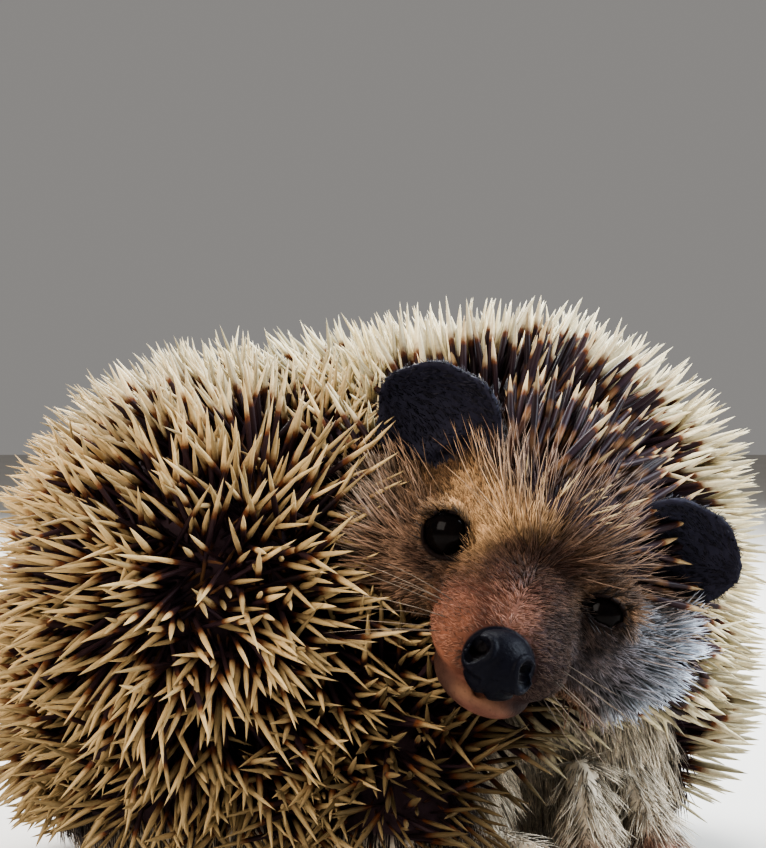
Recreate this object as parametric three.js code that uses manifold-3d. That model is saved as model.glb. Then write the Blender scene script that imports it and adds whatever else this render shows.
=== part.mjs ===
// A life-size African pygmy hedgehog, resting half curled on the floor. The quilled back bends round in a C,
// and the face looks out between the brow and the rump. The solids reach to the tips of the quills and fur.
// Millimetres, +Z up. The floor is z = 0, and the animal looks along -Y. The origin lies on the floor, under
// the middle of the ball.
import * as THREE from "three";
import { mergeVertices } from "three/addons/utils/BufferGeometryUtils.js";
import Module from "manifold-3d";

const wasm = await Module();
wasm.setup();

// ---- Driving dimensions ----

const GAP = 0.3; // between neighbouring pieces
const FLOOR = 0;
const FAR = 200; // past the whole animal, for cutting blocks

// A lobe is a rounded mass: the centre and the three radii.
const lobe = (x, y, z, rx, ry, rz) => ({ at: [x, y, z], radii: [rx, ry, rz] });

// The ball of quills, to the quill tips.
const BALL_CENTRE = [2, 2, 34];
const BALL_BLEND = 7; // how softly the lobes run into each other
const BALL_LOBES = [
  lobe(-23, -8, 37, 33, 36, 35.5), // rump
  lobe(-24, -5, 21, 34, 33, 25), // right haunch, spread on the floor
  lobe(-26, 12, 42, 32, 30, 32.5), // loin
  lobe(2, 16, 42.5, 40, 38, 36), // back
  lobe(26, 8, 43.5, 31, 33, 34), // shoulders
  lobe(17, -6, 53, 29, 27.5, 27.5), // crown
  lobe(27, 5, 24, 29, 28, 28), // left flank
  lobe(3, -20, 19, 22, 20, 22), // seat, under the chin
  lobe(0, 2, 26, 40, 34, 28.5), // belly, flat on the floor
];

// The head's own frame has its origin midway between the eyes: +x is the animal's left, -y the nose, +z up.
const HEAD_AT = [17.8, -34, 43.3];
const HEAD_TURN = { roll: 27.3, pitch: 13.6, yaw: -1.6 }; // degrees

const FACE_CENTRE = [0, 8, -1];
const FACE_BLEND = 4;
const FACE_LOBES = [
  lobe(0, 13, 1.5, 17, 18, 14.5), // cranium
  lobe(-12, 8, -6, 11, 12.5, 10), // right cheek
  lobe(12, 8, -6, 11, 12.5, 10), // left cheek
  lobe(-17, 13, -5, 9.5, 10, 9.5), // ruff below the right ear
  lobe(17, 13, -5, 9.5, 10, 9.5), // ruff below the left ear
  lobe(0, 2, 4.5, 10.5, 8.5, 7.5), // brow
  lobe(0, -1, -4, 9, 11, 8), // root of the muzzle
];
const MUZZLE_CENTRE = [0, -9, -5.5];
const MUZZLE_LOBES = [
  lobe(0, -3, -5, 9.6, 10, 7.8), // bridge
  lobe(0.6, -9.8, -6.8, 9, 7.2, 6.2), // tip
];
const JAW_LOBE = lobe(0.8, -6.8, -12, 6.8, 10, 3.7);
const NOSE_LOBE = lobe(0, -17.5, -5.2, 4.5, 4, 4.3);
const NOSTRIL = { radius: 1, depth: 2.2, side: 2.2, rise: 0.4, facets: 8 };

const EYE = { radius: 3.3, side: 10.8, out: [0.72, -0.66, 0.2], socket: 4.3, shift: 3.4 };

// The outer ear is a shallow dish cut from a hollow ball of radius cup. Lean turns its mouth outwards, and
// tip turns it up, in degrees.
const EAR = { side: 17.2, back: 14, up: 9.2, radius: 9.2, thick: 1.4, cup: 14, lean: 16, tip: 6 };
const EAR_CLEARING = { back: 7, radii: [11, 12, 11] }; // the quills stand clear of each ear
const FACE_OPENING = lobe(0, -10, -5, 21, 17, 17); // and of the face

// Each foot rests on the floor, with its toes turned from straight ahead, and its leg goes up into the ball.
// The knuckles and the ankle lie these shares of the foot's length ahead of its middle and behind it.
const FOOT = { height: 4.6, knuckles: 0.3, ankle: 0.22, ankleHeight: 2.8 };
const LEG_RADIUS = 4.2;
const TOE = { count: 4, radius: 1.5, past: 1.9, tipHeight: 1, splay: 1.4 };
const LEGS = {
  foreleg_right: { foot: [28, -28], turn: -4, width: 8, length: 11, top: [27, -16, 14] },
  foreleg_left: { foot: [38.5, -21], turn: 16, width: 8, length: 11, top: [34, -8, 14] },
  hindleg_right: { foot: [8, -36], turn: 18, width: 8.5, length: 16, top: [2, -24, 12] },
  hindleg_left: { foot: [18.5, -27], turn: 34, width: 8.5, length: 16, top: [12, -14, 12] },
};

const TAIL = { from: [12, -24, 8], to: [25.2, -33.5, 5], radius: 2.2 };

// The quilled body is parted by wedges about an upright line at the fold, in degrees from +X towards +Y.
const FOLD = [6, -14];
const SECTORS = {
  shoulders: [-75, 62],
  back: [62, 120],
  loin: [120, 168],
  rump: [168, 285],
};
const SCALP = { low: -6, back: 21, right: -18 }; // the crown's bounds, in the head's frame
const NECK_LENGTH = 11; // of the band behind the crown

// How many triangles each round shape is cut into.
const DETAIL = {
  ball: 8,
  face: 5,
  muzzle: 3,
  jaw: 2,
  nose: 2,
  opening: 1,
  ear: 3,
  eye: 2,
  socket: 1,
  foot: 1,
};

// ---- Shapes ----

const REACH = 120; // a blob's surface lies within this distance of its centre
const HALVINGS = 24; // of that distance, to find the surface
const rad = THREE.MathUtils.degToRad;

// Distance, about true, from a point to the surface of a lobe: negative inside.
function lobeDistance(p, { at, radii }, grow) {
  const q = radii.map((r, i) => (p.getComponent(i) - at[i]) / (r + grow));
  const near = Math.hypot(...q);
  const slope = Math.hypot(...q.map((v, i) => v / (radii[i] + grow)));
  return slope > 0 ? (near * (near - 1)) / slope : -Math.min(...radii);
}

// Several lobes run together softly, over about the blend's width.
function blendedDistance(p, lobes, blend, grow) {
  const soft = blend / 3;
  const sum = lobes.reduce((s, l) => s + Math.exp(-lobeDistance(p, l, grow) / soft), 0);
  return -Math.log(sum) * soft;
}

// A ball of triangles whose points are moved along their own rays to the surface of the blended lobes.
function blob(centre, lobes, { blend = 0.5, detail = 8, grow = 0 } = {}) {
  const geometry = new THREE.IcosahedronGeometry(1, detail);
  const from = new THREE.Vector3(...centre);
  const points = geometry.attributes.position;
  const ray = new THREE.Vector3();
  const p = new THREE.Vector3();
  for (let i = 0; i < points.count; i++) {
    ray.fromBufferAttribute(points, i).normalize();
    let [inside, outside] = [0, REACH];
    for (let step = 0; step < HALVINGS; step++) {
      const middle = (inside + outside) / 2;
      p.copy(from).addScaledVector(ray, middle);
      if (blendedDistance(p, lobes, blend, grow) < 0) inside = middle;
      else outside = middle;
    }
    p.copy(from).addScaledVector(ray, inside);
    points.setXYZ(i, p.x, p.y, p.z);
  }
  return geometry;
}

const single = (one, detail, grow = 0) => blob(one.at, [one], { detail, grow });

// ---- Joining and cutting ----

function solid(geometry, matrix = new THREE.Matrix4()) {
  const bare = geometry.clone().deleteAttribute("normal").deleteAttribute("uv");
  const merged = mergeVertices(bare.applyMatrix4(matrix), 1e-4);
  return new wasm.Manifold(
    new wasm.Mesh({
      numProp: 3,
      vertProperties: merged.attributes.position.array,
      triVerts: new Uint32Array(merged.index.array),
    }),
  );
}

function geometryOf(made) {
  const { vertProperties, triVerts } = made.getMesh();
  const geometry = new THREE.BufferGeometry();
  geometry.setAttribute("position", new THREE.BufferAttribute(vertProperties, 3));
  geometry.setIndex(new THREE.BufferAttribute(triVerts, 1));
  const flat = geometry.toNonIndexed();
  flat.computeVertexNormals();
  return flat;
}

// The largest body of a cut piece, so that no crumb stays beside it.
function whole(made) {
  const bodies = made.decompose();
  return bodies.reduce((a, b) => (a.volume() > b.volume() ? a : b));
}

// A block between two opposite corners.
function block(low, high) {
  const size = high.map((v, i) => v - low[i]);
  const box = new THREE.BoxGeometry(...size);
  return box.translate(...low.map((v, i) => v + size[i] / 2));
}

// A wedge about an upright line, between two angles in degrees, with its sides set back by a margin.
function wedge([x, y], [from, to], margin) {
  const middle = rad((from + to) / 2);
  const setBack = margin / Math.sin(rad(to - from) / 2);
  const steps = Math.ceil((to - from) / 30); // chords of at most 30 degrees
  const shape = new THREE.Shape();
  shape.moveTo(0, 0);
  for (let i = 0; i <= steps; i++) {
    const angle = rad(from + ((to - from) * i) / steps);
    shape.lineTo(FAR * Math.cos(angle), FAR * Math.sin(angle));
  }
  shape.closePath();
  const made = new THREE.ExtrudeGeometry(shape, { depth: 2 * FAR, bevelEnabled: false });
  return made.translate(x + setBack * Math.cos(middle), y + setBack * Math.sin(middle), -FAR);
}

const aboveFloor = solid(block([-FAR, -FAR, FLOOR], [FAR, FAR, FAR]));

// ---- The model ----

const hedgehog = new THREE.Group();
const head = new THREE.Group();
head.position.set(...HEAD_AT);
const { roll, pitch, yaw } = HEAD_TURN;
head.rotation.set(rad(pitch), rad(roll), rad(yaw), "YXZ");
hedgehog.add(head);
hedgehog.updateMatrixWorld(true);
const headToWorld = head.matrixWorld;

const finish = (color, roughness, metalness = 0) =>
  new THREE.MeshStandardMaterial({ color, roughness, metalness });
const QUILLS = finish(0xa8885a, 0.7);
const FUR = finish(0xc9a87c, 0.9);
const SKIN = finish(0x9a6248, 0.6);
const DARK_SKIN = finish(0x221d20, 0.55);
const BLACK_GLOSS = finish(0x050507, 0.08);

function add(group, name, material, made) {
  const mesh = new THREE.Mesh(geometryOf(whole(made)), material);
  mesh.name = name;
  group.add(mesh);
}

// The head's pieces, in the head's frame.
const faceBlob = (grow) =>
  solid(blob(FACE_CENTRE, FACE_LOBES, { blend: FACE_BLEND, detail: DETAIL.face, grow }));
const muzzleBlob = (grow) =>
  solid(blob(MUZZLE_CENTRE, MUZZLE_LOBES, { blend: 2, detail: DETAIL.muzzle, grow }));
const jawBlob = (grow) => solid(single(JAW_LOBE, DETAIL.jaw, grow));
const noseBlob = (grow) => solid(single(NOSE_LOBE, DETAIL.nose, grow));

function eyeball(side, grow) {
  const ball = new THREE.IcosahedronGeometry(EYE.radius + grow, DETAIL.eye);
  return solid(ball.translate(side * EYE.side, 0, 0));
}

function ear(side, grow) {
  const { radius, thick, cup, lean, tip } = EAR;
  const outer = new THREE.IcosahedronGeometry(cup + grow, DETAIL.ear);
  const inner = new THREE.IcosahedronGeometry(cup - thick - grow, DETAIL.ear);
  const rim = new THREE.CylinderGeometry(radius + grow, radius + grow, cup, 20);
  rim.translate(0, cup, 0);
  const dish = solid(outer).subtract(solid(inner)).intersect(solid(rim));
  const middle = new THREE.Vector3(side * EAR.side, EAR.back, EAR.up);
  const turn = new THREE.Euler(rad(tip), 0, rad(side * lean), "ZXY");
  const away = new THREE.Vector3(0, cup, 0).applyEuler(turn);
  const place = new THREE.Matrix4().makeRotationFromEuler(turn).setPosition(middle.sub(away));
  return dish.transform(place.elements);
}

function nostril(side) {
  const { radius, depth, rise, facets } = NOSTRIL;
  const bore = new THREE.CylinderGeometry(radius, radius, 2 * depth, facets);
  const [x, y, z] = NOSE_LOBE.at;
  return solid(bore.translate(x + side * NOSTRIL.side, y - NOSE_LOBE.radii[1], z + rise));
}

const SIDES = { right: -1, left: 1 };
function socket(side) {
  const hollow = new THREE.IcosahedronGeometry(EYE.socket, DETAIL.socket);
  const [x, y, z] = EYE.out.map((v) => v * EYE.shift);
  return solid(hollow.translate(side * (EYE.side + x), y, z));
}

const withoutEyes = (start) =>
  Object.values(SIDES).reduce(
    (made, side) => made.subtract(eyeball(side, GAP)).subtract(socket(side)),
    start,
  );

const nose = Object.values(SIDES).reduce((made, side) => made.subtract(nostril(side)), noseBlob(0));
add(head, "nose", DARK_SKIN, nose);
add(head, "muzzle", SKIN, withoutEyes(muzzleBlob(0).subtract(noseBlob(GAP))));
add(head, "jaw", SKIN, jawBlob(0).subtract(muzzleBlob(GAP)).subtract(noseBlob(GAP)));
const face = faceBlob(0).subtract(muzzleBlob(GAP)).subtract(jawBlob(GAP)).subtract(noseBlob(GAP));
add(head, "head", FUR, withoutEyes(face));
for (const [name, side] of Object.entries(SIDES)) {
  add(head, "eye_" + name, BLACK_GLOSS, eyeball(side, 0));
  add(head, "ear_" + name, DARK_SKIN, ear(side, 0).subtract(faceBlob(GAP)));
}

// The legs and the tail, in the part's frame.
function rod(from, to, radius, sides) {
  const [a, b] = [new THREE.Vector3(...from), new THREE.Vector3(...to)];
  const along = b.clone().sub(a);
  const made = new THREE.CapsuleGeometry(radius, along.length(), 2, sides);
  made.applyQuaternion(
    new THREE.Quaternion().setFromUnitVectors(new THREE.Vector3(0, 1, 0), along.normalize()),
  );
  return solid(made.translate(...a.add(b).divideScalar(2)));
}

function leg({ foot: [x, y], turn, width, length, top }, grow) {
  const place = new THREE.Matrix4().makeRotationZ(rad(turn)).setPosition(x, y, FLOOR);
  const at = (px, py, pz) => new THREE.Vector3(px, py, pz).applyMatrix4(place).toArray();
  const sole = lobe(0, 0, 0, width / 2, length / 2, FOOT.height);
  let made = solid(single(sole, DETAIL.foot, grow), place);
  for (let i = 0; i < TOE.count; i++) {
    const across = (i / (TOE.count - 1) - 0.5) * (width / 2);
    const root = at(across, -length * FOOT.knuckles, TOE.radius);
    const end = at(across * TOE.splay, -length / 2 - TOE.past, TOE.tipHeight);
    made = made.add(rod(root, end, TOE.radius + grow, 6));
  }
  const ankle = at(0, length * FOOT.ankle, FOOT.ankleHeight);
  return made.add(rod(ankle, top, LEG_RADIUS + grow, 9)).intersect(aboveFloor);
}

// The quilled body, in the part's frame, with room for the face and the ears.
const ballBlob = (grow) =>
  solid(blob(BALL_CENTRE, BALL_LOBES, { blend: BALL_BLEND, detail: DETAIL.ball, grow }));
const inWorld = (made) => made.transform(headToWorld.elements);
const faceInWorld = inWorld(faceBlob(GAP));
let ball = ballBlob(0).intersect(aboveFloor).subtract(faceInWorld);
ball = ball.subtract(solid(single(FACE_OPENING, DETAIL.opening), headToWorld));
for (const side of Object.values(SIDES)) {
  const { back, radii } = EAR_CLEARING;
  const clearing = lobe(side * EAR.side, back, EAR.up, ...radii);
  ball = ball.subtract(solid(single(clearing, DETAIL.opening), headToWorld));
  ball = ball.subtract(inWorld(ear(side, GAP)));
}

// What shows of the tail and the legs: each is cut back from the ball, the face and those made before it.
const limbs = {
  tail: (grow) => rod(TAIL.from, TAIL.to, TAIL.radius + grow, 8),
  ...Object.fromEntries(Object.entries(LEGS).map(([k, v]) => [k, (grow) => leg(v, grow)])),
};
const muzzleInWorld = inWorld(muzzleBlob(GAP).add(jawBlob(GAP)));
let taken = ballBlob(GAP).add(faceInWorld).add(muzzleInWorld);
for (const [name, limb] of Object.entries(limbs)) {
  add(hedgehog, name, SKIN, limb(0).subtract(taken));
  taken = taken.add(limb(GAP));
}

// The brow's quills, and the band behind them, are parted from the rest before it is cut into wedges.
function scalp(back, grow) {
  const low = [SCALP.right - grow, -FAR, SCALP.low - grow];
  return solid(block(low, [FAR, back + grow, FAR]), headToWorld);
}
for (const [name, back] of Object.entries({ crown: SCALP.back, neck: SCALP.back + NECK_LENGTH })) {
  add(hedgehog, name, QUILLS, ball.intersect(scalp(back, 0)));
  ball = ball.subtract(scalp(back, GAP));
}
for (const [name, sector] of Object.entries(SECTORS)) {
  add(hedgehog, name, QUILLS, ball.intersect(solid(wedge(FOLD, sector, GAP / 2))));
}

export default hedgehog;
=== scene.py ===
"""The looks of a life-size African pygmy hedgehog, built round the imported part.

One skin is drawn from a few soft masses, and quills, fur, whiskers and claws grow from it as solid tapered
strands. Lengths are in millimetres in the part's frame, and become metres where each mesh is made.
"""

import math
from collections import namedtuple

import bmesh
import bpy
import numpy as np
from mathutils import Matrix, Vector
from mathutils.kdtree import KDTree


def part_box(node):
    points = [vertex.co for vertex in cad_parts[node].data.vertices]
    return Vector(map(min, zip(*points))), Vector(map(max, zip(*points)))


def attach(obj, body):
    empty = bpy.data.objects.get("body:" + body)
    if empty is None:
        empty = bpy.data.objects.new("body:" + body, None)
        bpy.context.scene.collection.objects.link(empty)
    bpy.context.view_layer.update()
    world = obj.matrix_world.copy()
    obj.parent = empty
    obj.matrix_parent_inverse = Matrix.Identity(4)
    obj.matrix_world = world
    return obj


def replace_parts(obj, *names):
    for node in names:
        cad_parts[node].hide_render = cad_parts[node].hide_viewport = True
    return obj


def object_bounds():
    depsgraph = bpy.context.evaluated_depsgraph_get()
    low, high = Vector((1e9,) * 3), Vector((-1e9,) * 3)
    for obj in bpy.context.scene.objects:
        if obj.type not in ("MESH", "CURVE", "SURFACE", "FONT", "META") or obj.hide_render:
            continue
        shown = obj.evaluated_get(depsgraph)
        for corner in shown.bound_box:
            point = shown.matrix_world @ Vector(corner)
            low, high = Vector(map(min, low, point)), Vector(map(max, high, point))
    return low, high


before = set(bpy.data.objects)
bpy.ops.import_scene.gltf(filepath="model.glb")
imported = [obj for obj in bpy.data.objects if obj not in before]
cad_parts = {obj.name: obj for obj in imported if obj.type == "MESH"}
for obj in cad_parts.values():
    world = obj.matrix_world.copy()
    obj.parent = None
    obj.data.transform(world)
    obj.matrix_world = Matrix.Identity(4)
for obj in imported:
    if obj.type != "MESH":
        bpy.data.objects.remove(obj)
cad_box = [list(corner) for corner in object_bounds()]
MM = 0.001
BOX = [np.array(corner) / MM for corner in cad_box]
SIDES = (-1, 1)  # the animal's right and left

# ---- The body's masses: x, y, z of the middle, then the three radii, to the tips of the coat ----

BALL = [
    (-23, -8, 37, 33, 36, 35.5),  # rump
    (-24, -5, 21, 34, 33, 25),  # right haunch
    (-26, 12, 42, 32, 30, 32.5),  # loin
    (2, 16, 42.5, 40, 38, 36),  # back
    (26, 8, 43.5, 31, 33, 34),  # shoulders
    (17, -6, 53, 29, 27.5, 27.5),  # crown
    (27, 5, 24, 29, 28, 28),  # left flank
    (3, -20, 19, 22, 20, 22),  # seat, under the chin
    (0, 2, 26, 40, 34, 28.5),  # belly
]
BALL_SOFT = 7 / 3  # how softly the masses run into each other
BELLY_FLAT = 1.0  # the height of the flat under the belly
BODY_AXIS = (4, 0)  # the quills lie round this point, seen from above

# The head's own frame: the origin midway between the eyes, x to its left, -y to the nose, z up.
FACE = [
    (0, 13, 1.5, 17, 18, 14.5),  # cranium
    (-12, 8, -6, 11, 12.5, 10),  # cheeks
    (12, 8, -6, 11, 12.5, 10),
    (-17, 13, -5, 9.5, 10, 9.5),  # ruffs below the ears
    (17, 13, -5, 9.5, 10, 9.5),
    (0, 2, 4.5, 10.5, 8.5, 7.5),  # brow
    (0, -1, -4, 9, 11, 8),  # root of the muzzle
]
FACE_SOFT = 4 / 3
MUZZLE = [(0, -3, -5, 9.6, 10, 7.8), (0.6, -9.8, -6.8, 9, 7.2, 6.2)]  # bridge and tip
MUZZLE_SOFT = 2 / 3
JAW = (0.8, -6.8, -12, 6.8, 10, 3.7)
NOSE = (0, -17.5, -5.2, 4.5, 4, 4.3)  # the part's nose
NOSE_PAD = (0.7, -17.4, -6.3, 4.15, 3.9, 4.15)  # the bare pad that is drawn
NOSE_SOFT = 0.5
NOSTRIL_AT = (3.15, -2.2, 1.1)  # the left one, from the middle of the pad
NOSTRIL = {"rim": 1.75, "rise": 0.3, "hole": 1.32, "throat": 1.15, "slit": 0.32, "groove": 0.38}
LIP = {"corner": (7.4, 8.9, -3.9), "off": 0.7, "middle": (-0.2, 2.0, -4.7), "radius": 0.35}

EYE_RADIUS = 3.2
EYE_OUT = np.array([0.32, -0.94, 0.1])  # the way the left eye looks
LIDS = {  # each eye's opening, and how far its lids stand out
    -1: {"x": -0.5, "y": 0.1, "wide": 3.5, "high": 3.45, "out": 3.7},
    1: {"x": 1.5, "y": 1.1, "wide": 3.1, "high": 1.7, "out": 3.8},
}
LID_GAP = {"out": 4.4, "depth": 3.6}
LID_CLEARANCE = 0.06
LIDS_REACH = 6  # from the middle of the eye
EAR = {"radius": 8.9, "cup": 13.3, "lean": 16, "tip": 6, "thick": 1.1}
EAR_WAVES = [(0.35, 3, 0.6), (0.2, 7, 0)]  # the rim's: height, number, shift
EAR_FOLD = {"root": (1, -6), "tip": (-3, 1), "depth": 1.2, "radius": 0.6}
EAR_AT = {-1: (-17.2, 14, 9.2), 1: (16.0, 14, 7.9)}  # the left one is pressed in a little
FAR_OFF = 20  # a distance where nothing is near

FOOT = {"height": 4.6, "knuckles": 0.3, "ankle": 0.22, "ankle_height": 2.8}
LEG_RADIUS = 4.2
TOE = {"count": 4, "radius": 1.5, "past": 1.9, "tip_height": 1.0, "splay": 1.4}
Leg = namedtuple("Leg", "foot turn width length top")
LEGS = {
    "foreleg_right": Leg((28, -28), -4, 8, 11, (27, -16, 14)),
    "foreleg_left": Leg((38.5, -21), 16, 8, 11, (34, -8, 14)),
    "hindleg_right": Leg((8, -36), 18, 8.5, 16, (2, -24, 12)),
    "hindleg_left": Leg((18.5, -27), 34, 8.5, 16, (12, -14, 12)),
}
SOLE_HEIGHT = 0.15
TAIL = {"from": (12, -24, 8), "to": (25.2, -33.5, 5), "radius": 2.2}

# How deep each coat is: from the tips down to the skin.
QUILL_DEPTH = 12.0
SKIRT_DEPTH = 4.5
SKIRT_TO_QUILLS = (3, 24)  # heights
FACE_FUR = 2.2
SHORT_FUR = 0.3
LEG_FUR = 1.8
TAIL_FUR = 0.5
TOE_FUR = 0.35

# The room that the head and the limbs take.
HEAD_ROOM = {"middle": (0, 8, 0), "radius": 42}
LIMB_ROOM = {"right": -6, "back": 4, "top": 20}

# ---- Small helpers ----


def unit(v):
    v = np.asarray(v, float)
    return v / np.maximum(np.linalg.norm(v, axis=-1, keepdims=True), 1e-9)


def ramp(x, low, high):
    """Rises smoothly from 0 at low to 1 at high."""
    t = np.clip((x - low) / (high - low), 0, 1)
    return t * t * (3 - 2 * t)


def fall(x, low, high):
    return 1 - ramp(x, low, high)


def norm(v):
    return np.linalg.norm(v, axis=-1)


def blend(a, b, width):
    """The nearer of two distances, rounded where they meet."""
    h = np.maximum(width - np.abs(a - b), 0) / width
    return np.minimum(a, b) - h * h * width / 4


def carve(a, b, width):
    return -blend(-a, b, width)


def turned(degrees, axis):
    c, s = math.cos(math.radians(degrees)), math.sin(math.radians(degrees))
    i, j = {"x": (1, 2), "y": (2, 0), "z": (0, 1)}[axis]
    m = np.eye(3)
    m[i, i], m[i, j], m[j, i], m[j, j] = c, -s, s, c
    return m


def within(p, mass):
    """A point's distance from the middle of a mass, in shares of its radii."""
    return norm((p - np.array(mass[:3])) / np.array(mass[3:]))


def from_segment(p, a, b):
    """The way to each point from the nearest point of the line between a and b."""
    a, b = np.array(a, float), np.array(b, float)
    t = np.clip((p - a) @ (b - a) / ((b - a) @ (b - a)), 0, 1)
    return p - a - t[..., None] * (b - a)


def linear(rgb):
    """A screen colour, 0 to 255, as light."""
    c = np.array(rgb) / 255
    return np.where(c <= 0.04045, c / 12.92, ((c + 0.055) / 1.055) ** 2.4)


def mix(colour, rgb, share):
    return colour + (linear(rgb) - colour) * np.asarray(share)[:, None]


# ---- The head's frame, from the eyes and the nose of the part ----


def node_centre(node):
    low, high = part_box(node)
    return (np.array(low) + np.array(high)) / 2 / MM


EYES = {"right": node_centre("eye_right"), "left": node_centre("eye_left")}
HEAD_AT = (EYES["right"] + EYES["left"]) / 2
EYE_SIDE = np.linalg.norm(EYES["left"] - EYES["right"]) / 2


def head_axes():
    across = unit(EYES["left"] - EYES["right"])
    to_nose = node_centre("nose") - HEAD_AT
    first = unit(to_nose - to_nose @ across * across)
    second = np.cross(across, first)
    far = math.hypot(NOSE[1], NOSE[2])
    back = first * (NOSE[1] / far) - second * (NOSE[2] / far)
    return np.stack([across, back, np.cross(across, back)], axis=1)


HEAD_TURN = head_axes()


def in_head(p):
    return (p - HEAD_AT) @ HEAD_TURN


def from_head(q):
    return np.asarray(q, float) @ HEAD_TURN.T + HEAD_AT


# ---- Distances from points to the skin, negative inside ----


def masses(p, lobes, soft, grow=0.0):
    """Distance to ellipsoids that run softly into each other, grown by the given depth."""
    total = 0
    for one in lobes:
        radii = np.array(one[3:]) + grow
        q = (p - np.array(one[:3])) / radii
        near = norm(q)
        slope = norm(q / radii) + 1e-6
        total = total + np.exp(np.clip(near * (1 - near) / slope / soft, -50, 50))
    return -soft * np.log(total + 1e-30)


def rod(p, a, b, radius):
    return norm(from_segment(p, a, b)) - radius


def coat_surface(p):
    return masses(p, BALL, BALL_SOFT)


def body_distance(p):
    """The body's skin: the masses, shrunk by the depth of the coat there, and flat under the belly."""
    high = ramp(p[..., 2:], *SKIRT_TO_QUILLS)
    depth = SKIRT_DEPTH + (QUILL_DEPTH - SKIRT_DEPTH) * high
    return carve(masses(p, BALL, BALL_SOFT, -depth), p[..., 2] - BELLY_FLAT, width=3)


def face_distance(h):
    return masses(h, FACE, FACE_SOFT, -FACE_FUR)


def ear_frame(side):
    return turned(side * EAR["lean"], "z") @ turned(EAR["tip"], "x")


def ear_local(q, side):
    return (q - np.array(EAR_AT[side])) @ ear_frame(side) + (0, EAR["cup"], 0)


def ear_distance(q, side):
    """A piece of a hollow ball, with a wavy rim and a fold inside it."""
    e = ear_local(q, side)
    out = np.hypot(e[..., 0], e[..., 2])
    angle = np.arctan2(e[..., 2], e[..., 0] * side)
    rim = EAR["radius"]
    for height, number, shift in EAR_WAVES:
        rim = rim + height * np.sin(number * angle + shift)
    shell = np.abs(norm(e) - EAR["cup"]) - EAR["thick"] / 2
    ends = [(side * x, EAR["cup"] - EAR_FOLD["depth"], z) for x, z in (EAR_FOLD["root"], EAR_FOLD["tip"])]
    folded = blend(shell, rod(e, *ends, EAR_FOLD["radius"]), width=1.5)
    return np.where(e[..., 1] > 0, carve(folded, rim - out, width=0.4), FAR_OFF)


def from_ears(h):
    return np.minimum(*(ear_distance(h, side) for side in SIDES))


def from_eye(h, side):
    return norm(h - np.array([side * EYE_SIDE, 0, 0]))


def from_eyes(h):
    return np.minimum(*(from_eye(h, side) for side in SIDES))


def eye_axes(side):
    """Columns: towards the ear, up, and out of the eye."""
    out = unit(EYE_OUT * (side, 1, 1))
    along = unit(np.cross((0, 0, 1), out)) * side
    return np.stack([along, np.cross(out, along) * side, out], axis=1)


def eye_opening(q, side):
    """How far a point is outside the gap between the lids."""
    e = (q - np.array([side * EYE_SIDE, 0, 0])) @ eye_axes(side)
    lid = LIDS[side]
    gap = (-side * lid["x"], lid["y"], LID_GAP["out"], lid["wide"], lid["high"], LID_GAP["depth"])
    return masses(e, [gap], 1)


def from_lids(h):
    """How far a point of the skin is from the edge of the nearer eyelids."""
    nearest = np.minimum(*(eye_opening(h, side) for side in SIDES))
    return np.where(from_eyes(h) < LIDS_REACH, nearest, FAR_OFF)


def lids(d, q, side):
    """Adds a bulge round one eye, the gap between its lids, and the eyeball's socket."""
    ball = from_eye(q, side)
    d = blend(d, ball - LIDS[side]["out"], width=1.3)
    d = carve(d, eye_opening(q, side), width=0.3)
    return carve(d, ball - EYE_RADIUS - LID_CLEARANCE, width=0.1)


def nose_pad(h):
    return masses(h, [NOSE_PAD], NOSE_SOFT)


def nose_and_mouth(d, h):
    """Adds the nose pad, each nostril a deep comma under a raised rim, and the line of the lips."""
    pad = nose_pad(h)
    q = h - np.array(NOSE_PAD[:3])
    nose = pad
    for side in SIDES:
        at = q - np.array(NOSTRIL_AT) * (side, 1, 1)
        ring = rod(at, (side * 0.5, 0, -0.5), (0, -0.3, 0.6), NOSTRIL["rim"])
        nose = blend(nose, np.maximum(ring, pad) - NOSTRIL["rise"], width=0.4)
    for side in SIDES:
        at = q - np.array(NOSTRIL_AT) * (side, 1, 1)
        hole = rod(at, (side * 0.5, 0.3, -0.5), (side * 0.05, -0.3, 0.65), NOSTRIL["hole"])
        throat = rod(at, (side * 0.1, -0.2, -0.2), (-side * 0.3, 3.0, 0), NOSTRIL["throat"])
        nose = carve(nose, np.minimum(hole, throat), width=0.3)
        level = q[..., 2] + 1.5 + 0.15 * side * q[..., 0]
        slit = np.maximum(np.hypot(level, pad) - NOSTRIL["slit"], 1.3 - side * q[..., 0])
        nose = carve(nose, slit, width=0.5)
    groove = np.maximum(np.hypot(q[..., 0] + 0.1, pad) - NOSTRIL["groove"], q[..., 2] + 0.6)
    nose = carve(nose, groove, width=0.7)
    d = blend(d, nose, width=0.6)
    x, y, z = LIP["corner"]
    for side in SIDES:
        d = carve(d, rod(q, (side * x - LIP["off"], y, z), LIP["middle"], LIP["radius"]), width=1.0)
    return d


def head_distance(h):
    d = face_distance(h)
    d = blend(d, masses(h, MUZZLE, MUZZLE_SOFT, -SHORT_FUR), width=2.5)
    d = blend(d, masses(h, [JAW], 1, -SHORT_FUR), width=0.5)
    for side in SIDES:
        d = lids(d, h, side)
        d = blend(d, ear_distance(h, side), width=1.2)
    return nose_and_mouth(d, h)


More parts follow.
